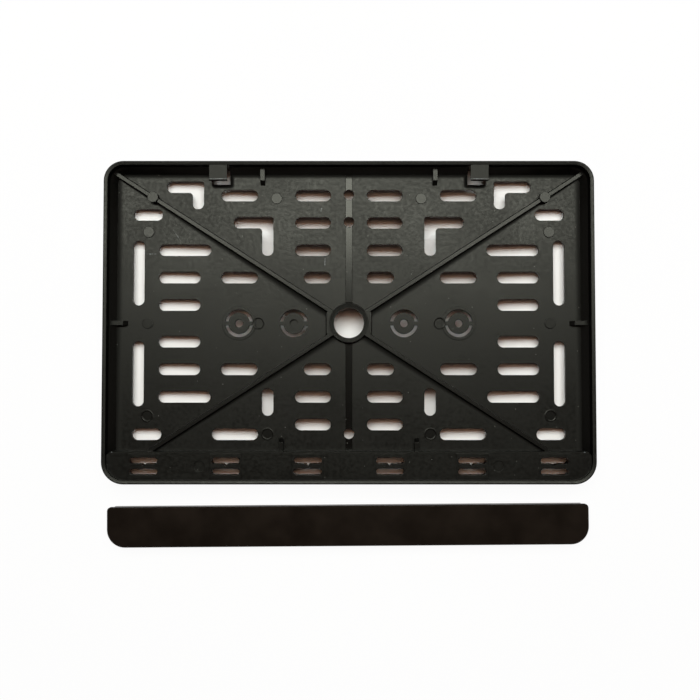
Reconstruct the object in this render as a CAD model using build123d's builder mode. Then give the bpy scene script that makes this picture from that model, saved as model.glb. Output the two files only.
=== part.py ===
from build123d import *
import math
import os

# Number plate holder for a two-line plate: an open moulded tray with a slotted floor, and the
# loose strip that snaps onto the tray's ledge to close it over the plate's lower edge.
# The tray lies on its back with its open front up, and the strip lies face up beside it.
# Millimetres. X runs along the plate, Y towards its upper edge, Z out of the front.
# The origin is on the centre hole's axis, in the plane of the floor's back.

# Rim of the tray
tray_length = 300.0
tray_top = 99.0
tray_bottom = -98.2
tray_depth = 15.0
rim_wall = 2.4
rim_crown = 0.7
rim_slope = 1.6
rim_fall = 0.35
corner_top = 12.0
corner_bottom = 13.5
corner_least = 1.0

# The rim's inner face is upright, with a steep slope along its foot that stiffens it
slope_height = 4.4
slope_run = 3.8

# Floor, and how far the rim stands out behind it
floor_thick = 2.2
back_skirt = 2.8

# Ribs that carry the plate clear of the floor, and the posts that stand on them
rib_height = 3.5
rib_width = 3.2
rib_draft = 8.0
post_x = 121.2
post_y = 77.9
post_radius = 3.25
post_proud = 1.2

# Short ribs at the rim that carry the plate's edges
stop_width = 2.8
stop_slope = 2.4
stop_top_x = 53.6
stop_top_y = 86.1
stop_side_x = 136.8
stop_low_x = 41.7
stop_low_y = -71.0

# Centre boss, dished round its hole, with a sloped tab at its upper side
hole_radius = 9.3
dish_land = 0.7
dish_radius = 11.8
dish_depth = 0.35
boss_radius = 12.6
tab_y = 11.8
tab_reach = 1.2
tab_fall = 0.45
boss_flat_x = 14.3
boss_flat_height = 13.8

# Groove down the middle of the floor, and the three holes on it
groove_width = 4.1
groove_depth = 0.6
groove_hole_radius = 3.2
groove_hole_rows = (80.4, 63.3, -68.4)

# Fixing slots for screws up to 6 mm, in rows of one pitch above and below the middle
slot_width = 7.2
row_first = 11.4
row_pitch = 17.1
row_low = -68.7
row_corner = 67.7
central_x = 22.3
central_length = 22.2
short_x = 19.6
short_length = 16.7
mid_x = 68.1
mid_length = 22.8
column_x = 105.2
column_length = 26.0
long_x = 101.9
long_length = 32.6
corner_x = 125.0
corner_length = 18.2
lower_x = 70.5
lower_length = 28.7
upright_x = 130.6
upright_y = 31.3
upright_length = 40.4
stub_x = 50.3
stub_y = -48.8
stub_length = 17.0

# Elbow slots: a level leg above, and an upright leg on the side towards the middle
elbow_width = 7.2
elbow_corner = 1.8
elbow_end = 3.4
big_elbow_x = 47.0
big_elbow_y = 66.5
big_elbow_length = 24.7
big_elbow_drop = 24.4
small_elbow_x = 90.4
small_elbow_y = 88.7
small_elbow_length = 23.1
small_elbow_drop = 17.4

# Knock-out discs, each in a ring gap crossed by two webs; a skin closes one disc's small hole
knock_inner_x = 34.2
knock_outer_x = 68.2
knock_radius = 6.6
knock_gap = 2.0
knock_web = 2.4
knock_hole_radius = 2.4
knock_skin = 0.4
knock_ring = 1.9
knock_ring_proud = 0.3

# Round marks where pins pushed the moulding out of its mould
mark_radius = 3.35
mark_rise = 0.5
mark_sink = 0.5
raised_marks = ((45.0, 77.9), (124.6, 56.9), (124.8, 0.0))
sunk_marks = ((56.2, 0.0), (124.8, -57.3), (50.4, -68.5))
ledge_mark_x = 91.0

# Hooks over the plate's upper edge, thinner towards their noses, each above an opening in the floor
hook_x = 80.1
hook_width = 11.0
hook_y = 87.0
hook_thick = 1.8
hook_fall = 0.5
hook_edge = 0.6
hook_hole_inner = 0.65
hook_hole_outer = -0.35
hook_hole_front = 0.5

# Ledge along the lower edge, hollow behind, that the strip sits on
ledge_y = -78.7
ledge_corner = 2.2
deck_thick = 2.0

# Clip sockets in the ledge: pairs of slots with a notched bar between them, each in a raised pad
clip_pairs = 6
clip_pitch = 50.0
clip_y = -87.5
clip_spacing = 6.7
clip_slot_length = 17.2
clip_slot_width = 3.9
clip_notch = 1.8
pad_length = 19.4
pad_height = 15.2
pad_proud = 0.3
socket_length = 20.0
socket_depth = 5.8

# Stub of the moulding gate on the left outer face
gate_length = 7.0
gate_proud = 0.5
gate_height = 3.0
gate_y = -45.5
gate_z = 6.2

# Retaining strip: a flat face with a lip that reaches the plate, and pairs of snap clips behind
plate_thick = 1.5
strip_fit = 0.7
strip_thick = 2.2
strip_height = 24.5
strip_corner_top = 2.4
strip_corner_bottom = 11.0
strip_edge = 0.5
lip_thick = 1.6
lip_end = 4.0
clip_play = 0.4
clip_thick = 2.0
barb_reach = 0.9
barb_height = 1.8
barb_land = 0.6
barb_play = 0.2

# Where the loose strip lies
strip_gap = 13.5
strip_shift = -0.6
strip_turn = 0.42

# Worked out from the sizes above
floor_top = floor_thick
seat_top = floor_top + rib_height
tray_front = tray_depth - back_skirt
hook_top = tray_front - rim_fall
hook_bottom = hook_top - hook_thick
nose_thick = hook_thick - hook_fall
pad_top = tray_front - strip_thick
deck_top = pad_top - pad_proud
inner_x = tray_length / 2 - rim_wall
inner_top = tray_top - rim_wall
hook_reach = inner_top - hook_y + rim_wall / 2
inner_bottom = tray_bottom + rim_wall
slope_angle = math.degrees(math.atan2(slope_run, slope_height))
rib_angle = math.degrees(math.atan2(post_y, post_x))
rows = [row_first + row_pitch * step for step in range(5)]
clip_xs = [clip_pitch * (step - (clip_pairs - 1) / 2) for step in range(clip_pairs)]
socket_bottom = pad_top - socket_depth
gap_radius = knock_radius + knock_gap
clip_length = socket_depth + barb_play + barb_height
lip_depth = pad_top - seat_top - plate_thick
strip_length = 2 * (inner_x - strip_fit)
strip_y = tray_bottom - strip_gap - strip_height / 2
sides = (-1, 1)

# Each stop's tip, its direction towards the rim, and how far it reaches
stops = [((side * stop_top_x, stop_top_y), (0, 1), inner_top - stop_top_y) for side in sides]
stops += [((side * stop_low_x, stop_low_y), (0, -1), stop_low_y - ledge_y) for side in sides]
stops += [((side * stop_side_x, 0), (side, 0), inner_x - stop_side_x) for side in sides]


def rim_outline(inset):
    # the rim's outline moved in by an amount, with its lower corners a little larger
    with BuildSketch() as outline:
        with Locations((0, (tray_top + tray_bottom) / 2)):
            Rectangle(tray_length - 2 * inset, tray_top - tray_bottom - 2 * inset)
        fillet(outline.vertices().group_by(Axis.Y)[-1], max(corner_top - inset, corner_least))
        fillet(outline.vertices().group_by(Axis.Y)[0], max(corner_bottom - inset, corner_least))
    return outline.sketch


def ledge_outline():
    # the part of the rim's outline below the ledge's front edge, with that edge's ends cut back
    with BuildSketch() as outline:
        add(rim_outline(0))
        with Locations((0, ledge_y)):
            Rectangle(tray_length, tray_top - ledge_y, align=(Align.CENTER, Align.MIN), mode=Mode.SUBTRACT)
        chamfer(outline.vertices().group_by(Axis.Y)[-1], ledge_corner + rim_wall)
    return outline.sketch


def elbow_outline(side, x, y, length, drop):
    # the level leg runs outwards from the corner at x, y and the upright leg runs down from it
    far = x + length
    low = y - drop
    points = [(x, y), (far, y), (far, y - elbow_width), (x + elbow_width, y - elbow_width),
              (x + elbow_width, low), (x, low)]
    with BuildSketch() as outline:
        with BuildLine():
            Polyline(*[(side * px, py) for px, py in points], close=True)
        make_face()
        level_end = outline.vertices().sort_by(lambda v: abs(v.X))[-2:]
        upright_end = outline.vertices().sort_by(Axis.Y)[:2]
        fillet(level_end + upright_end, elbow_end)
        corners = outline.vertices().sort_by(lambda v: abs(abs(v.X) + v.Y - x - y))[:2]
        fillet(corners, elbow_corner)
    return outline.sketch


def both_sides(places):
    # each place and its mirror image
    return [(side * x, y) for x, y in places for side in sides]


# Tray
with BuildPart() as holder_tray:
    # a block of the rim's outline, opened in front to the floor and behind to the floor's back
    with BuildSketch(Plane.XY.offset(-back_skirt)):
        add(rim_outline(0))
    extrude(amount=tray_depth)
    with BuildSketch(Plane.XY.offset(floor_top)):
        add(rim_outline(rim_wall + slope_run))
    extrude(amount=slope_height, taper=-slope_angle, mode=Mode.SUBTRACT)
    with BuildSketch(Plane.XY.offset(floor_top + slope_height)):
        add(rim_outline(rim_wall))
    extrude(amount=tray_front - floor_top - slope_height, mode=Mode.SUBTRACT)
    with BuildSketch():
        add(rim_outline(rim_wall))
    extrude(amount=-back_skirt, mode=Mode.SUBTRACT)
    rim_face = holder_tray.faces().sort_by(Axis.Z)[-1]
    fillet(rim_face.outer_wire().edges(), rim_crown)
    rim_face = holder_tray.faces().sort_by(Axis.Z)[-1]
    chamfer(rim_face.inner_wires()[0].edges(), rim_slope, rim_fall, reference=rim_face)

    # ledge, hollow behind apart from the clip sockets under its deck
    with BuildSketch():
        add(ledge_outline())
    extrude(amount=deck_top)
    with BuildSketch():
        offset(ledge_outline(), amount=-rim_wall, kind=Kind.INTERSECTION)
    extrude(amount=socket_bottom, mode=Mode.SUBTRACT)
    with BuildSketch(Plane.XY.offset(socket_bottom)):
        offset(ledge_outline(), amount=-rim_wall, kind=Kind.INTERSECTION)
        with Locations(*[(x, clip_y) for x in clip_xs]):
            Rectangle(socket_length, tray_top - tray_bottom, mode=Mode.SUBTRACT)
    extrude(amount=deck_top - deck_thick - socket_bottom, mode=Mode.SUBTRACT)
    with BuildSketch(Plane.XY.offset(deck_top)):
        with Locations(*[(x, clip_y) for x in clip_xs]):
            Rectangle(pad_length, pad_height)
    extrude(amount=pad_proud)

    # drafted ribs and the boss's footing, at the height that carries the plate
    with BuildSketch(Plane.XY.offset(floor_top)):
        for angle in (-rib_angle, rib_angle):
            Rectangle(2 * tray_length, rib_width, rotation=angle)
        Circle(boss_radius)
        Rectangle(2 * boss_flat_x, boss_flat_height)
        add(rim_outline(rim_wall / 2), mode=Mode.INTERSECT)
        with Locations((0, ledge_y - rim_wall / 2)):
            Rectangle(tray_length, tray_bottom, align=(Align.CENTER, Align.MAX), mode=Mode.SUBTRACT)
    extrude(amount=rib_height, taper=rib_draft)
    with BuildSketch(Plane.XY.offset(floor_top)):
        with Locations(*both_sides([(post_x, post_y)])):
            Circle(post_radius)
    extrude(amount=rib_height + post_proud)

    # rim stops, each a short rib with a sloped tip
    for (x, y), (run_x, run_y), reach in stops:
        with BuildSketch(Plane(origin=(x, y, floor_top), x_dir=(run_x, run_y, 0), z_dir=(run_y, -run_x, 0))):
            with BuildLine():
                Polyline((0, 0), (reach + rim_wall / 2, 0), (reach + rim_wall / 2, rib_height),
                         (stop_slope, rib_height), close=True)
            make_face()
        extrude(amount=stop_width / 2, both=True)

    # raised rings round the outer knock-outs, and the raised pin marks
    with BuildSketch(Plane.XY.offset(floor_top)):
        with Locations(*both_sides([(knock_outer_x, 0)])):
            Circle(gap_radius + knock_ring)
    extrude(amount=knock_ring_proud)
    with BuildSketch(Plane.XY.offset(floor_top)):
        with Locations(*both_sides(raised_marks)):
            Circle(mark_radius)
    extrude(amount=mark_rise)

    # sunk pin marks in the floor and the ledge, and the groove
    with BuildSketch(Plane.XY.offset(floor_top)):
        with Locations(*both_sides(sunk_marks)):
            Circle(mark_radius)
    extrude(amount=-mark_sink, mode=Mode.SUBTRACT)
    with BuildSketch(Plane.XY.offset(deck_top)):
        with Locations(*both_sides([(ledge_mark_x, clip_y)])):
            Circle(mark_radius)
    extrude(amount=-mark_sink, mode=Mode.SUBTRACT)
    with BuildSketch(Plane.XY.offset(floor_top)):
        with Locations((0, boss_radius)):
            Rectangle(groove_width, inner_top - slope_run - boss_radius, align=(Align.CENTER, Align.MIN))
        with Locations((0, -boss_radius)):
            Rectangle(groove_width, -boss_radius - ledge_y, align=(Align.CENTER, Align.MAX))
    extrude(amount=-groove_depth, mode=Mode.SUBTRACT)

    # tab on the boss, then the centre hole in its dish
    with BuildSketch(Plane(origin=(0, tab_y, 0), x_dir=(0, 1, 0), z_dir=(1, 0, 0))):
        with BuildLine():
            Polyline((0, 0), (tab_reach, 0), (tab_reach, seat_top - tab_fall), (0, seat_top), close=True)
        make_face()
    extrude(amount=groove_width / 2, both=True)
    with Locations((0, 0, seat_top)):
        Cone(hole_radius + dish_land, dish_radius, dish_depth, align=(Align.CENTER, Align.CENTER, Align.MAX),
             mode=Mode.SUBTRACT)
    with BuildSketch():
        Circle(hole_radius)
    extrude(amount=seat_top, mode=Mode.SUBTRACT)

    # fixing slots and groove holes, right through the floor
    with BuildSketch():
        for x, length, levels in (
            (central_x, central_length, (rows[4], rows[3], rows[2], -rows[2], -rows[3])),
            (short_x, short_length, (rows[1], -rows[1])),
            (mid_x, mid_length, (rows[4], rows[1], -rows[1])),
            (column_x, column_length, (rows[1], rows[0], -rows[0], -rows[1])),
            (long_x, long_length, (rows[2], -rows[2])),
            (corner_x, corner_length, (row_corner, row_low)),
            (lower_x, lower_length, (row_low,)),
        ):
            with Locations(*both_sides([(x, y) for y in levels])):
                SlotOverall(length, slot_width)
        with Locations(*both_sides([(upright_x, upright_y), (upright_x, -upright_y)])):
            SlotOverall(upright_length, slot_width, rotation=90)
        with Locations(*both_sides([(stub_x, stub_y)])):
            SlotOverall(stub_length, slot_width, rotation=90)
        for side in sides:
            add(elbow_outline(side, big_elbow_x, big_elbow_y, big_elbow_length, big_elbow_drop))
            add(elbow_outline(side, small_elbow_x, small_elbow_y, small_elbow_length, small_elbow_drop))
        with Locations(*[(0, y) for y in groove_hole_rows]):
            Circle(groove_hole_radius)
    extrude(amount=floor_top, mode=Mode.SUBTRACT)

    # knock-outs: a ring gap between two webs, and a small hole
    with BuildSketch():
        with Locations(*both_sides([(knock_inner_x, 0), (knock_outer_x, 0)])):
            Circle(gap_radius)
            Circle(knock_radius, mode=Mode.SUBTRACT)
            Rectangle(2 * gap_radius, knock_web, mode=Mode.SUBTRACT)
    extrude(amount=floor_top + knock_ring_proud, mode=Mode.SUBTRACT)
    with BuildSketch():
        with Locations(*both_sides([(knock_outer_x, 0)]), (knock_inner_x, 0)):
            Circle(knock_hole_radius)
    extrude(amount=floor_top + knock_ring_proud, mode=Mode.SUBTRACT)
    with BuildSketch(Plane.XY.offset(knock_skin)):
        with Locations((-knock_inner_x, 0)):
            Circle(knock_hole_radius)
    extrude(amount=floor_thick - knock_skin, mode=Mode.SUBTRACT)

    # hooks, and the openings under them that run back to the rim's upright face
    hole_shift = (hook_hole_outer - hook_hole_inner) / 2
    with BuildSketch():
        with Locations(*both_sides([(hook_x + hole_shift, hook_y - hook_hole_front)])):
            Rectangle(hook_width + hook_hole_inner + hook_hole_outer, inner_top - hook_y + hook_hole_front,
                      align=(Align.CENTER, Align.MIN))
    extrude(amount=hook_bottom, mode=Mode.SUBTRACT)
    for side in sides:
        hook_plane = Plane(origin=(side * hook_x, hook_y, hook_bottom), x_dir=(0, 1, 0), z_dir=(1, 0, 0))
        with BuildSketch(hook_plane):
            with BuildLine():
                Polyline((0, 0), (hook_reach, 0), (hook_reach, hook_thick), (hook_edge, nose_thick),
                         (0, nose_thick - hook_edge), close=True)
            make_face()
        extrude(amount=hook_width / 2, both=True)

    # clip slots through the ledge, with a notch in the bar between each pair
    with BuildSketch(Plane.XY.offset(pad_top)):
        for x in clip_xs:
            with Locations((x, clip_y + clip_spacing / 2), (x, clip_y - clip_spacing / 2)):
                SlotOverall(clip_slot_length, clip_slot_width)
            with Locations((x, clip_y + (clip_spacing - clip_slot_width) / 2)):
                Rectangle(clip_notch, clip_notch, rotation=45)
    extrude(amount=-socket_depth, mode=Mode.SUBTRACT)

    # gate stub on the left outer face
    with BuildSketch(Plane.YZ.offset(-tray_length / 2 - gate_proud)):
        with Locations((gate_y, gate_z)):
            Rectangle(gate_length, gate_height)
    extrude(amount=gate_proud + rim_wall / 2)

# Retaining strip, in its own plane: along its length, and up towards its lipped edge
strip_plane = Plane(origin=(strip_shift, strip_y, -back_skirt),
                    x_dir=(math.cos(math.radians(strip_turn)), math.sin(math.radians(strip_turn)), 0),
                    z_dir=(0, 0, 1))
clip_v = clip_y - inner_bottom - strip_fit - strip_height / 2
clip_outer = (clip_spacing + clip_slot_width - clip_play) / 2
clip_width = clip_slot_length - clip_slot_width - clip_play

with BuildPart() as retaining_strip:
    # face plate, bevelled along its front edges
    with BuildSketch(strip_plane.offset(clip_length)) as face:
        Rectangle(strip_length, strip_height)
        fillet(face.vertices().group_by(Axis.Y)[-1], strip_corner_top)
        fillet(face.vertices().group_by(Axis.Y)[0], strip_corner_bottom)
    extrude(amount=strip_thick)
    chamfer(retaining_strip.faces().sort_by(Axis.Z)[-1].edges(), strip_edge)

    # lip that presses on the plate
    with BuildSketch(strip_plane.offset(clip_length)):
        with Locations((0, strip_height / 2)):
            Rectangle(strip_length - 2 * lip_end, lip_thick, align=(Align.CENTER, Align.MAX))
    extrude(amount=-lip_depth)

    # clips: upright legs with a barb on the outer side that catches under the socket
    for x in clip_xs:
        clip_plane = Plane(origin=strip_plane.from_local_coords((x - clip_width / 2, clip_v, 0)),
                           x_dir=strip_plane.y_dir, z_dir=strip_plane.x_dir)
        with BuildSketch(clip_plane):
            for side in sides:
                profile = [(clip_outer - clip_thick, 0), (clip_outer, 0),
                           (clip_outer + barb_reach, barb_height - barb_land),
                           (clip_outer + barb_reach, barb_height), (clip_outer, barb_height),
                           (clip_outer, clip_length), (clip_outer - clip_thick, clip_length)]
                with BuildLine():
                    Polyline(*[(side * v, z) for v, z in profile], close=True)
                make_face()
        extrude(amount=clip_width)

holder_tray.part.label = "holder_tray"
retaining_strip.part.label = "retaining_strip"

os.makedirs("parts", exist_ok=True)
export_step(holder_tray.part, "parts/holder_tray.step")
export_step(retaining_strip.part, "parts/retaining_strip.step")
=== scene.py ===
import bpy
import math
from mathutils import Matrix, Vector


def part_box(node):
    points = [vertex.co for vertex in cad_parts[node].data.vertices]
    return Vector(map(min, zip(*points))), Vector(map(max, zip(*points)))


# A moulded black number plate holder lies on a white table, its open front up, with the loose strip
# that closes it laid beside it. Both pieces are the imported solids; this script gives them their
# plastics, and sets the table, the light and the camera. Metres; X along the plate, Y up it, Z out.

mm = 0.001
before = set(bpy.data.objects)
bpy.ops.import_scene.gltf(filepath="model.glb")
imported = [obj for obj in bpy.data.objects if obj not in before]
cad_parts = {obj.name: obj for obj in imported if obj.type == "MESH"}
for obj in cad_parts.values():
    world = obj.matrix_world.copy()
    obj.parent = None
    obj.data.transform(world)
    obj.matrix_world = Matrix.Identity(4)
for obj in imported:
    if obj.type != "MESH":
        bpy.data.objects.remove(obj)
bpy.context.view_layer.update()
print("frame loaded:", sorted(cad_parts))


def linear(hexColour):
    # an sRGB hex colour as the linear values that shaders take
    parts = [int(hexColour[i:i + 2], 16) / 255 for i in (1, 3, 5)]
    return [p / 12.92 if p <= 0.04045 else ((p + 0.055) / 1.055) ** 2.4 for p in parts] + [1.0]


def addNode(tree, kind, inputs=None, **settings):
    # a node with these settings; an input is a value, a socket, or a node whose first output it takes
    made = tree.nodes.new(kind)
    for name, value in settings.items():
        setattr(made, name, value)
    for name, value in (inputs or {}).items():
        if isinstance(name, int):
            socket = made.inputs[name]
        else:
            socket = next(s for s in made.inputs if s.name == name and s.enabled)
        if isinstance(value, bpy.types.Node):
            value = next(s for s in value.outputs if s.enabled)
        if isinstance(value, bpy.types.NodeSocket):
            tree.links.new(value, socket)
        else:
            socket.default_value = value
    return made


def newMaterial(name):
    material = bpy.data.materials.new(name)
    material.use_nodes = True
    material.node_tree.nodes.clear()
    return material, material.node_tree


def dress(node, material):
    node.data.materials.clear()
    node.data.materials.append(material)


plainWhite = linear("#ffffff")

# How both plastics are mottled, rubbed and scuffed. A noise keeps to the middle of its range, so each
# spread is the part of it that is stretched over the look.
plasticWear = {
    "cloudDetail": 4.0,
    "broadDetail": 2.0,
    "toneSpread": (0.36, 0.66),
    "glossSpread": (0.35, 0.65),
    "edgeSamples": 6,
    "edgeTurn": (0.97, 0.80),  # an edge pales as its rounded normal turns from the flat one, by their cosine
    "edgeShare": 0.15,
    "rub": 3.0 * mm,
    "rubDetail": 3.0,
    "rubSpread": (0.35, 0.70),
    "scuffDepth": 1.0 * mm,
    "scuffCore": 0.2,  # a scuff is full inside this share of its reach
    "scuffGrain": 0.7 * mm,
    "scuffSpread": (0.40, 0.62),
}


def plastic(name, look, scuffsAndBands=(), finish=None):
    wear = plasticWear
    material, tree = newMaterial(name)
    point = addNode(tree, "ShaderNodeTexCoord").outputs["Object"]

    # cloudy colour and gloss
    cloud = addNode(tree, "ShaderNodeTexNoise", {"Vector": point, "Scale": 1 / look["cloud"],
                                                 "Detail": wear["cloudDetail"]})
    low, high = wear["toneSpread"]
    tone = addNode(tree, "ShaderNodeMapRange", {"Value": cloud, "From Min": low, "From Max": high})
    colour = addNode(tree, "ShaderNodeMix", {"Factor": tone, "A": linear(look["darkHex"]),
                                             "B": linear(look["lightHex"])}, data_type="RGBA")
    low, high = wear["glossSpread"]
    smooth, dull = look["roughness"]
    rough = addNode(tree, "ShaderNodeMapRange", {"Value": cloud, "From Min": low, "From Max": high,
                                                 "To Min": smooth, "To Max": dull})
    broad = addNode(tree, "ShaderNodeTexNoise", {"Vector": point, "Scale": 1 / look["broadCloud"],
                                                 "Detail": wear["broadDetail"]})
    drift = addNode(tree, "ShaderNodeMapRange", {"Value": broad, "From Min": low, "From Max": high,
                                                 "To Min": -look["drift"], "To Max": look["drift"]})
    rough = addNode(tree, "ShaderNodeMath", {0: rough, 1: drift}, operation="ADD")

    # rounded and paler edges, rubbed through in places
    flat = addNode(tree, "ShaderNodeNewGeometry").outputs["Normal"]
    soft = addNode(tree, "ShaderNodeBevel", {"Radius": look["edgeRadius"]}, samples=wear["edgeSamples"])
    alike = addNode(tree, "ShaderNodeVectorMath", {0: soft, 1: flat}, operation="DOT_PRODUCT")
    start, full = wear["edgeTurn"]
    edge = addNode(tree, "ShaderNodeMapRange", {"Value": alike.outputs["Value"], "From Min": start,
                                                "From Max": full, "To Max": wear["edgeShare"]})
    rub = addNode(tree, "ShaderNodeTexNoise", {"Vector": point, "Scale": 1 / wear["rub"],
                                               "Detail": wear["rubDetail"]})
    low, high = wear["rubSpread"]
    rub = addNode(tree, "ShaderNodeMapRange", {"Value": rub, "From Min": low, "From Max": high})
    pale = addNode(tree, "ShaderNodeMath", {0: edge, 1: rub}, operation="MULTIPLY")
    colour = addNode(tree, "ShaderNodeMix", {"Factor": pale, "A": colour, "B": linear(look["wornHex"])},
                     data_type="RGBA")

    # scuffs and pale bands, broken up by a fine noise
    low, high = wear["scuffSpread"]
    for x, y, z, length, width, turn, even in scuffsAndBands:
        local = addNode(tree, "ShaderNodeMapping",
                        {"Vector": point, "Location": (x * mm, y * mm, z * mm),
                         "Rotation": (0, 0, math.radians(turn)),
                         "Scale": (length * mm / 2, width * mm / 2, wear["scuffDepth"])},
                        vector_type="TEXTURE")
        away = addNode(tree, "ShaderNodeVectorMath", {0: local}, operation="LENGTH").outputs["Value"]
        shape = addNode(tree, "ShaderNodeMapRange", {"Value": away, "From Min": 1.0,
                                                     "From Max": wear["scuffCore"]})
        fine = addNode(tree, "ShaderNodeTexNoise", {"Vector": point, "Scale": 1 / wear["scuffGrain"]})
        broken = addNode(tree, "ShaderNodeMapRange", {"Value": fine, "From Min": low, "From Max": high,
                                                      "To Min": even})
        share = addNode(tree, "ShaderNodeMath", {0: shape, 1: broken}, operation="MULTIPLY")
        colour = addNode(tree, "ShaderNodeMix", {"Factor": share, "A": colour,
                                                 "B": linear(look["scuffAndBandHex"])}, data_type="RGBA")

    relief = soft
    grain = addNode(tree, "ShaderNodeTexNoise", {"Vector": point, "Scale": 1 / look["grain"]})
    if finish:
        colour, rough, relief, grain = finish(tree, point, colour, rough, relief, grain)
    bump = addNode(tree, "ShaderNodeBump", {"Height": grain, "Distance": look["grainHeight"],
                                            "Normal": relief})
    shader = addNode(tree, "ShaderNodeBsdfPrincipled", {"Base Color": colour, "Roughness": rough,
                                                        "Normal": bump,
                                                        "Specular IOR Level": look["specular"],
                                                        "Specular Tint": linear(look["sheenHex"])})
    addNode(tree, "ShaderNodeOutputMaterial", {"Surface": shader})
    return material


# Injection-moulded ABS with a fine spark-eroded texture: a soft grey sheen, cloudy where the melt
# flowed, with paler rubbed edges, a few scuffs and specks of dust, and pale bands along the hooks' noses
trayLook = {
    "darkHex": "#070706",
    "lightHex": "#0b0b0a",
    "wornHex": "#4c4c48",
    "scuffAndBandHex": "#8f9496",
    "dustHex": "#7c7c77",
    "sheenHex": "#fffaea",
    "roughness": (0.322, 0.438),
    "specular": 0.231,
    "cloud": 2.0 * mm,
    "broadCloud": 40.0 * mm,
    "drift": 0.028,  # how far the gloss drifts across the broad clouds
    "grain": 0.8 * mm,  # the real texture is about 0.1 mm; drawn coarser so that it shows
    "grainHeight": 0.03 * mm,
    "edgeRadius": 0.35 * mm,
    "levelFrom": 0.8,  # faces whose normal has more Z than this take the finishes below
    "polishedHalf": 2.05 * mm,  # the groove down the middle is smoother than the floor
    "polishedTop": 1.9 * mm,
    "polishedRoughness": 0.21,
    "tops": (  # from and to which height, and how rough
        (5.0 * mm, 7.0 * mm, 0.31),  # the ribs, rubbed a little smoother
        (11.0 * mm, 12.0 * mm, 0.45),  # the hooks, duller
    ),
    "dishReach": 12.2 * mm,  # the dish in the boss is coarsely textured
    "dishFrom": 5.0 * mm,
    "dishRoughness": (0.42, 0.70),
    "dishGrain": 0.9 * mm,
    "dishCoarse": 8.0,  # how much higher its texture stands than the floor's
    "bandRoughness": 0.95,  # rough bands on the floor, where the mould's pieces met
    "bandTop": 3.0 * mm,
    "shutMiddle": (78.6 * mm, 92.0 * mm),  # round each hook's opening
    "shutHalf": (4.7 * mm, 5.5 * mm),
    "shutReach": (0.9 * mm, 2.8 * mm),
    "footFrom": (139.8 * mm, 90.0 * mm),  # along the feet of the end walls and the top wall
    "footTo": (145.4 * mm, 93.0 * mm),
    "ribPost": (121.2 * mm, 77.9 * mm),  # below each rib, which runs from the middle past its post
    "ribFoot": 1.4 * mm,
    "ribRun": (30.0 * mm, 140.0 * mm),  # between these the band narrows from the first reach to the second
    "ribReach": (6.2 * mm, 2.3 * mm),
    "ribShare": 0.85,
    "markRadius": 3.35 * mm,  # pin marks: places in millimetres, alike on both sides of the middle
    "raisedPlaces": ((45.0, 77.9), (124.6, 56.9), (124.8, 0.0)),
    "raisedRoughness": 0.28,
    "sunkPlaces": ((56.2, 0.0), (124.8, -57.3), (50.4, -68.5)),
    "sunkRoughness": 0.29,
    "burrWidth": 0.6 * mm,  # a low burr stands round each sunk mark, on the front of the floor only
    "burrHeight": 0.15 * mm,
    "burrFrom": 1.5 * mm,
    "dustCell": 13.0 * mm,  # at most one speck in each cell
    "dustRadius": 0.28 * mm,
    "dustCore": 0.4,
    "dustChance": (0.55, 0.95),
}

# Where the tray is scuffed, and the pale bands along its hooks' noses: x, y, z, length and width in
# millimetres, turn in degrees, and how even
trayScuffsAndNoseBands = (
    (-17.1, 71.1, 2.2, 3.2, 1.2, 70, 0.0),
    (-16.1, 59.5, 2.2, 2.2, 0.9, 80, 0.0),
    (-14.9, 38.2, 2.2, 6.4, 1.0, 88, 0.0),
    (-122.8, 43.2, 2.2, 8.0, 0.5, 0, 0.0),
    (-107.0, 54.8, 2.2, 10.5, 0.3, -56, 0.0),
    (-144.1, -78.9, 9.6, 1.4, 1.0, 40, 0.0),
    (143.1, -78.9, 9.6, 1.6, 1.0, 0, 0.0),
    (-80.1, 88.0, 10.9, 30.0, 0.9, 0, 0.2),  # a pale band along each hook's nose
    (80.1, 88.0, 10.9, 30.0, 0.9, 0, 0.2),
)


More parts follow.
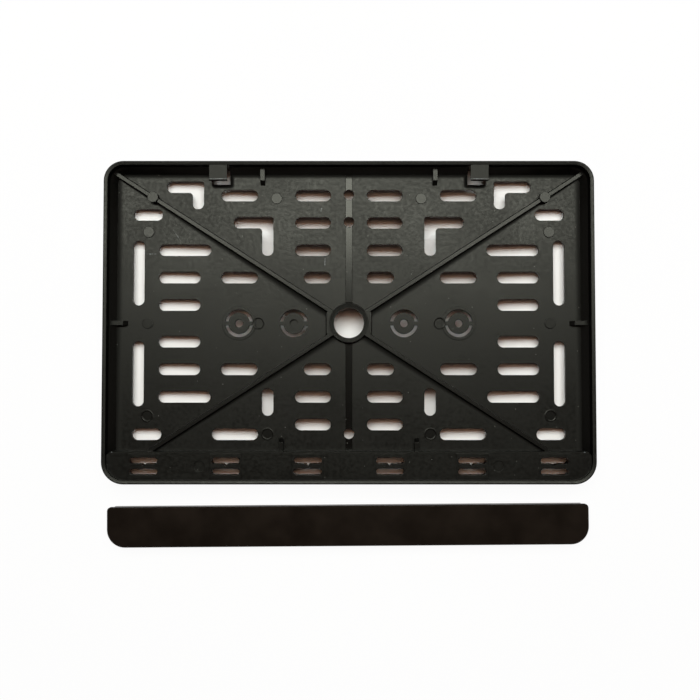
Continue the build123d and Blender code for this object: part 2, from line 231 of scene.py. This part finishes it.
def trayFinish(tree, point, colour, rough, relief, grain):
    look = trayLook
    flat = addNode(tree, "ShaderNodeNewGeometry").outputs["Normal"]
    lean = addNode(tree, "ShaderNodeSeparateXYZ", {"Vector": flat}).outputs["Z"]
    level = addNode(tree, "ShaderNodeMath", {0: lean, 1: look["levelFrom"]}, operation="GREATER_THAN")
    x, y, z = addNode(tree, "ShaderNodeSeparateXYZ", {"Vector": point}).outputs
    aside = addNode(tree, "ShaderNodeMath", {0: x}, operation="ABSOLUTE")
    spot = addNode(tree, "ShaderNodeCombineXYZ", {"X": aside, "Y": y})

    # the smoother groove
    near = addNode(tree, "ShaderNodeMath", {0: aside, 1: look["polishedHalf"]}, operation="LESS_THAN")
    below = addNode(tree, "ShaderNodeMath", {0: z, 1: look["polishedTop"]}, operation="LESS_THAN")
    groove = addNode(tree, "ShaderNodeMath", {0: near, 1: below}, operation="MULTIPLY")
    groove = addNode(tree, "ShaderNodeMath", {0: groove, 1: level}, operation="MULTIPLY")
    rough = addNode(tree, "ShaderNodeMix", {"Factor": groove, "A": rough, "B": look["polishedRoughness"]})

    # the tops of the ribs and the hooks
    for low, high, gloss in look["tops"]:
        above = addNode(tree, "ShaderNodeMath", {0: z, 1: low}, operation="GREATER_THAN")
        below = addNode(tree, "ShaderNodeMath", {0: z, 1: high}, operation="LESS_THAN")
        tops = addNode(tree, "ShaderNodeMath", {0: above, 1: below}, operation="MULTIPLY")
        tops = addNode(tree, "ShaderNodeMath", {0: tops, 1: level}, operation="MULTIPLY")
        rough = addNode(tree, "ShaderNodeMix", {"Factor": tops, "A": rough, "B": gloss})

    # the coarse dish in the boss
    away = addNode(tree, "ShaderNodeVectorMath", {0: spot}, operation="LENGTH").outputs["Value"]
    near = addNode(tree, "ShaderNodeMath", {0: away, 1: look["dishReach"]}, operation="LESS_THAN")
    above = addNode(tree, "ShaderNodeMath", {0: z, 1: look["dishFrom"]}, operation="GREATER_THAN")
    dish = addNode(tree, "ShaderNodeMath", {0: near, 1: above}, operation="MULTIPLY")
    coarse = addNode(tree, "ShaderNodeTexNoise", {"Vector": point, "Scale": 1 / look["dishGrain"]})
    low, high = plasticWear["glossSpread"]
    smooth, dull = look["dishRoughness"]
    coarse = addNode(tree, "ShaderNodeMapRange", {"Value": coarse, "From Min": low, "From Max": high,
                                                  "To Min": smooth, "To Max": dull})
    rough = addNode(tree, "ShaderNodeMix", {"Factor": dish, "A": rough, "B": coarse})

    # rough bands round the hooks' openings
    outside = addNode(tree, "ShaderNodeVectorMath", {0: spot, 1: (*look["shutMiddle"], 0)},
                      operation="SUBTRACT")
    outside = addNode(tree, "ShaderNodeVectorMath", {0: outside}, operation="ABSOLUTE")
    outside = addNode(tree, "ShaderNodeVectorMath", {0: outside, 1: (*look["shutHalf"], 0)},
                      operation="SUBTRACT")
    outside = addNode(tree, "ShaderNodeVectorMath", {0: outside, 1: (0, 0, 0)}, operation="MAXIMUM")
    away = addNode(tree, "ShaderNodeVectorMath", {0: outside}, operation="LENGTH").outputs["Value"]
    full, none = look["shutReach"]
    band = addNode(tree, "ShaderNodeMapRange", {"Value": away, "From Min": none, "From Max": full},
                   interpolation_type="SMOOTHSTEP")

    # along the walls' feet
    for along, start, end in zip((aside, y), look["footFrom"], look["footTo"]):
        foot = addNode(tree, "ShaderNodeMapRange", {"Value": along, "From Min": start, "From Max": end},
                       interpolation_type="SMOOTHSTEP")
        band = addNode(tree, "ShaderNodeMath", {0: band, 1: foot}, operation="MAXIMUM")

    # and below the ribs, by the distance across from a rib's middle line, downward
    postX, postY = look["ribPost"]
    slant = math.hypot(postX, postY)
    quarter = addNode(tree, "ShaderNodeVectorMath", {0: spot}, operation="ABSOLUTE")
    across = addNode(tree, "ShaderNodeVectorMath", {0: quarter, 1: (postY / slant, -postX / slant, 0)},
                     operation="DOT_PRODUCT").outputs["Value"]
    half = addNode(tree, "ShaderNodeMath", {0: y}, operation="SIGN")
    across = addNode(tree, "ShaderNodeMath", {0: across, 1: half}, operation="MULTIPLY")
    under = addNode(tree, "ShaderNodeMath", {0: across, 1: 0.0}, operation="GREATER_THAN")
    (start, end), (wide, narrow) = look["ribRun"], look["ribReach"]
    reach = addNode(tree, "ShaderNodeMapRange", {"Value": aside, "From Min": start, "From Max": end,
                                                 "To Min": wide, "To Max": narrow})
    foot = addNode(tree, "ShaderNodeMapRange", {"Value": across, "From Min": reach,
                                                "From Max": look["ribFoot"], "To Max": look["ribShare"]},
                   interpolation_type="SMOOTHSTEP")
    foot = addNode(tree, "ShaderNodeMath", {0: foot, 1: under}, operation="MULTIPLY")
    band = addNode(tree, "ShaderNodeMath", {0: band, 1: foot}, operation="MAXIMUM")
    below = addNode(tree, "ShaderNodeMath", {0: z, 1: look["bandTop"]}, operation="LESS_THAN")
    band = addNode(tree, "ShaderNodeMath", {0: band, 1: below}, operation="MULTIPLY")
    band = addNode(tree, "ShaderNodeMath", {0: band, 1: level}, operation="MULTIPLY")
    rough = addNode(tree, "ShaderNodeMix", {"Factor": band, "A": rough, "B": look["bandRoughness"]})

    # specks of dust
    cell = addNode(tree, "ShaderNodeTexVoronoi", {"Vector": point, "Scale": 1 / look["dustCell"]},
                   voronoi_dimensions="2D")
    size = look["dustRadius"] / look["dustCell"]
    speck = addNode(tree, "ShaderNodeMapRange", {"Value": cell.outputs["Distance"], "From Min": size,
                                                 "From Max": look["dustCore"] * size})
    chance = addNode(tree, "ShaderNodeSeparateColor", {"Color": cell.outputs["Color"]})
    low, high = look["dustChance"]
    kept = addNode(tree, "ShaderNodeMapRange", {"Value": chance, "From Min": low, "From Max": high})
    share = addNode(tree, "ShaderNodeMath", {0: speck, 1: kept}, operation="MULTIPLY")
    share = addNode(tree, "ShaderNodeMath", {0: share, 1: level}, operation="MULTIPLY")
    colour = addNode(tree, "ShaderNodeMix", {"Factor": share, "A": colour, "B": linear(look["dustHex"])},
                     data_type="RGBA")

    # smoother pin marks, the sunk ones last, for the burrs
    for kind in ("raised", "sunk"):
        nearest = 1.0
        for markX, markY in look[kind + "Places"]:
            away = addNode(tree, "ShaderNodeVectorMath", {0: spot, 1: (markX * mm, markY * mm, 0)},
                           operation="DISTANCE").outputs["Value"]
            nearest = addNode(tree, "ShaderNodeMath", {0: away, 1: nearest}, operation="MINIMUM")
        disc = addNode(tree, "ShaderNodeMath", {0: nearest, 1: look["markRadius"]}, operation="LESS_THAN")
        disc = addNode(tree, "ShaderNodeMath", {0: disc, 1: level}, operation="MULTIPLY")
        rough = addNode(tree, "ShaderNodeMix", {"Factor": disc, "A": rough, "B": look[kind + "Roughness"]})
    off = addNode(tree, "ShaderNodeMath", {0: nearest, 1: look["markRadius"]}, operation="SUBTRACT")
    off = addNode(tree, "ShaderNodeMath", {0: off}, operation="ABSOLUTE")
    burr = addNode(tree, "ShaderNodeMapRange", {"Value": off, "From Min": look["burrWidth"],
                                                "From Max": 0.0}, interpolation_type="SMOOTHSTEP")
    above = addNode(tree, "ShaderNodeMath", {0: z, 1: look["burrFrom"]}, operation="GREATER_THAN")
    burr = addNode(tree, "ShaderNodeMath", {0: burr, 1: above}, operation="MULTIPLY")
    relief = addNode(tree, "ShaderNodeBump", {"Height": burr, "Distance": look["burrHeight"],
                                              "Normal": relief})

    # the texture stands higher in the dish, and not at all in the groove
    height = addNode(tree, "ShaderNodeMath", {0: dish, 1: look["dishCoarse"], 2: 1.0},
                     operation="MULTIPLY_ADD")
    height = addNode(tree, "ShaderNodeMath", {0: height, 1: groove}, operation="SUBTRACT")
    grain = addNode(tree, "ShaderNodeMath", {0: grain, 1: height}, operation="MULTIPLY")
    return colour, rough, relief, grain


trayPlastic = plastic("moulded ABS, spark-eroded matte black", trayLook, trayScuffsAndNoseBands, trayFinish)
dress(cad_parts["holder_tray"], trayPlastic)
print("tray dressed")

# Injection-moulded ABS from a polished mould: smoother and a little warmer than the tray
stripLook = {
    "darkHex": "#0b0806",
    "lightHex": "#110d0a",
    "wornHex": "#3a342f",
    "sheenHex": "#ffe2c8",
    "roughness": (0.34, 0.40),
    "specular": 0.27,
    "cloud": 14.0 * mm,
    "broadCloud": 60.0 * mm,
    "drift": 0.02,
    "grain": 1.0 * mm,  # drawn coarser than the mould's marks, so that it shows
    "grainHeight": 0.006 * mm,
    "edgeRadius": 0.25 * mm,
}

dress(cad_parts["retaining_strip"], plastic("moulded ABS, smooth satin black", stripLook))
print("strip dressed")

# Painted white board: a plain matt white. It dips under the tray's middle, where the slots show it in
# deeper shade, and beyond the tray it is lifted towards plain white for the camera.
tableLook = {
    "hex": "#f4f3f1",
    "reach": 3.0,
    "gridSteps": (60, 40),
    "patchInset": 1.2 * mm,  # the patch that keeps its own shade ends this far inside the tray's outline
    "patchCorner": 12.0 * mm,
    "patchBlend": 0.6 * mm,
    "whiteShare": 0.95,
    "dipDepth": 7.2 * mm,
    "dipPlace": (10.0 * mm, 20.0 * mm),
    "dipReach": (95.0 * mm, 108.0 * mm),
    "dipPower": 3,  # a higher power gives the dip a flatter middle
    "fadePower": 8,  # and makes it fade nearer to the patch's edge
}

trayLow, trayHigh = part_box("holder_tray")
middle = (trayLow + trayHigh) / 2
patchHalf = [(trayHigh[i] - trayLow[i]) / 2 - tableLook["patchInset"] for i in range(2)]


def gridLine(axis):
    # places along one axis: closely spaced under the tray, and one far out at each end
    steps = tableLook["gridSteps"][axis]
    near = [middle[axis] + patchHalf[axis] * (2 * i / steps - 1) for i in range(steps + 1)]
    return [-tableLook["reach"]] + near + [tableLook["reach"]]


def tableHeight(x, y):
    # the table's plane, less the dip, which fades to nothing at the patch's edge
    inX, inY = [min(abs(v - middle[i]) / patchHalf[i], 1) for i, v in enumerate((x, y))]
    (dipX, dipY), (reachX, reachY) = tableLook["dipPlace"], tableLook["dipReach"]
    power, fade = tableLook["dipPower"], tableLook["fadePower"]
    hollow = math.exp(-abs((x - dipX) / reachX) ** power - abs((y - dipY) / reachY) ** power)
    return trayLow.z - tableLook["dipDepth"] * hollow * (1 - inX ** fade) * (1 - inY ** fade)


xs, ys = gridLine(0), gridLine(1)
points = [(x, y, tableHeight(x, y)) for y in ys for x in xs]
wide = len(xs)
quads = [(j * wide + i, j * wide + i + 1, (j + 1) * wide + i + 1, (j + 1) * wide + i)
         for j in range(len(ys) - 1) for i in range(wide - 1)]
tableMesh = bpy.data.meshes.new("table")
tableMesh.from_pydata(points, [], quads)
table = bpy.data.objects.new("table", tableMesh)
bpy.context.collection.objects.link(table)
for face in tableMesh.polygons:
    face.use_smooth = True

# how far a place lies beyond the patch, whose corners are rounded
tableMaterial, tree = newMaterial("painted white board")
corner = tableLook["patchCorner"]
straight = (patchHalf[0] - corner, patchHalf[1] - corner, 1.0)  # the last drops the height
place = addNode(tree, "ShaderNodeTexCoord").outputs["Object"]
place = addNode(tree, "ShaderNodeVectorMath", {0: place, 1: (middle.x, middle.y, 0)}, operation="SUBTRACT")
place = addNode(tree, "ShaderNodeVectorMath", {0: place}, operation="ABSOLUTE")
place = addNode(tree, "ShaderNodeVectorMath", {0: place, 1: straight}, operation="SUBTRACT")
place = addNode(tree, "ShaderNodeVectorMath", {0: place, 1: (0, 0, 0)}, operation="MAXIMUM")
away = addNode(tree, "ShaderNodeVectorMath", {0: place}, operation="LENGTH").outputs["Value"]
beyond = addNode(tree, "ShaderNodeMapRange", {"Value": away, "From Min": corner - tableLook["patchBlend"],
                                              "From Max": corner + tableLook["patchBlend"]})

# white there for the camera and in reflections, with some of the shadow kept
path = addNode(tree, "ShaderNodeLightPath")
seen = addNode(tree, "ShaderNodeMath", {0: path.outputs["Is Camera Ray"], 1: path.outputs["Is Glossy Ray"]},
               operation="MAXIMUM")
seen = addNode(tree, "ShaderNodeMath", {0: seen, 1: path.outputs["Is Transmission Ray"]},
               operation="MAXIMUM")
share = addNode(tree, "ShaderNodeMath", {0: seen, 1: tableLook["whiteShare"]}, operation="MULTIPLY")
share = addNode(tree, "ShaderNodeMath", {0: share, 1: beyond}, operation="MULTIPLY")
paint = addNode(tree, "ShaderNodeBsdfDiffuse", {"Color": linear(tableLook["hex"])})
glow = addNode(tree, "ShaderNodeEmission", {"Color": plainWhite, "Strength": 1.0})
shown = addNode(tree, "ShaderNodeMixShader", {0: share, 1: paint, 2: glow})
addNode(tree, "ShaderNodeOutputMaterial", {"Surface": shown})
tableMesh.materials.append(tableMaterial)
print("table laid")

# Lamps over the top edge, in metres. The pane hangs a little lower, so that the others don't hide it.
lampPlan = {
    "window": {"size": (1.6, 0.82), "place": (0.0, 0.685, 1.3), "watts": 30.1, "hex": "#f3faf9",
               "lights": True, "reflected": False},
    "pane": {"size": (1.4, 0.24), "place": (0.0, 0.375, 1.27), "watts": 16.8, "hex": "#f3faf9",
             "lights": False, "reflected": True},
    "ceiling": {"size": (1.2, 0.4), "place": (0.0, 0.2, 1.3), "watts": 2.9, "hex": "#ffc6a0",
                "lights": True, "reflected": False},
}

for name, plan in lampPlan.items():
    lamp = bpy.data.lights.new(name, "AREA")
    lamp.shape = "RECTANGLE"
    lamp.size, lamp.size_y = plan["size"]
    lamp.energy = plan["watts"]
    lamp.color = linear(plan["hex"])[:3]
    lampObject = bpy.data.objects.new(name, lamp)
    lampObject.location = plan["place"]
    lampObject.visible_camera = False
    lampObject.visible_diffuse = plan["lights"]
    lampObject.visible_glossy = plan["reflected"]
    bpy.context.collection.objects.link(lampObject)
print("lamps hung")

# Room: dim and warm, with white walls low down that reflections show, and plain white for the camera
roomLook = {
    "hex": "#5d4a44",
    "strength": 0.5,
    "wallTop": 0.2,  # how high up the white walls fade out, as a direction's Z
}

world = bpy.data.worlds.new("room")
bpy.context.scene.world = world
world.use_nodes = True
tree = world.node_tree
tree.nodes.clear()
path = addNode(tree, "ShaderNodeLightPath")
direction = addNode(tree, "ShaderNodeTexCoord").outputs["Generated"]
height = addNode(tree, "ShaderNodeSeparateXYZ", {"Vector": direction}).outputs["Z"]
wall = addNode(tree, "ShaderNodeMapRange", {"Value": height, "From Min": roomLook["wallTop"],
                                            "From Max": 0.0})
mirrored = addNode(tree, "ShaderNodeMath", {0: path.outputs["Is Glossy Ray"], 1: wall}, operation="MULTIPLY")
seen = addNode(tree, "ShaderNodeMath", {0: path.outputs["Is Camera Ray"], 1: mirrored}, operation="MAXIMUM")
seen = addNode(tree, "ShaderNodeMath", {0: seen, 1: path.outputs["Is Transmission Ray"]},
               operation="MAXIMUM")
dim = addNode(tree, "ShaderNodeBackground", {"Color": linear(roomLook["hex"]),
                                             "Strength": roomLook["strength"]})
bright = addNode(tree, "ShaderNodeBackground", {"Color": plainWhite, "Strength": 1.0})
shown = addNode(tree, "ShaderNodeMixShader", {0: seen, 1: dim, 2: bright})
addNode(tree, "ShaderNodeOutputWorld", {"Surface": shown})
bpy.context.scene.view_settings.view_transform = "Standard"
print("room set")

# Camera: over the tray, a little below its middle and tipped up towards its top edge
view = {
    "place": (0.68 * mm, -31.5 * mm, 477.2 * mm),
    "tiltDegrees": 1.8,
    "lens": 39.43,
    "sensor": 36.0,
    "clipStart": 10.0 * mm,
}

camera = bpy.data.objects.new("camera", bpy.data.cameras.new("camera"))
camera.location = view["place"]
camera.rotation_euler = (math.radians(view["tiltDegrees"]), 0, 0)
camera.data.sensor_width = view["sensor"]
camera.data.lens = view["lens"]
camera.data.clip_start = view["clipStart"]
bpy.context.collection.objects.link(camera)
bpy.context.scene.camera = camera
print("camera placed")
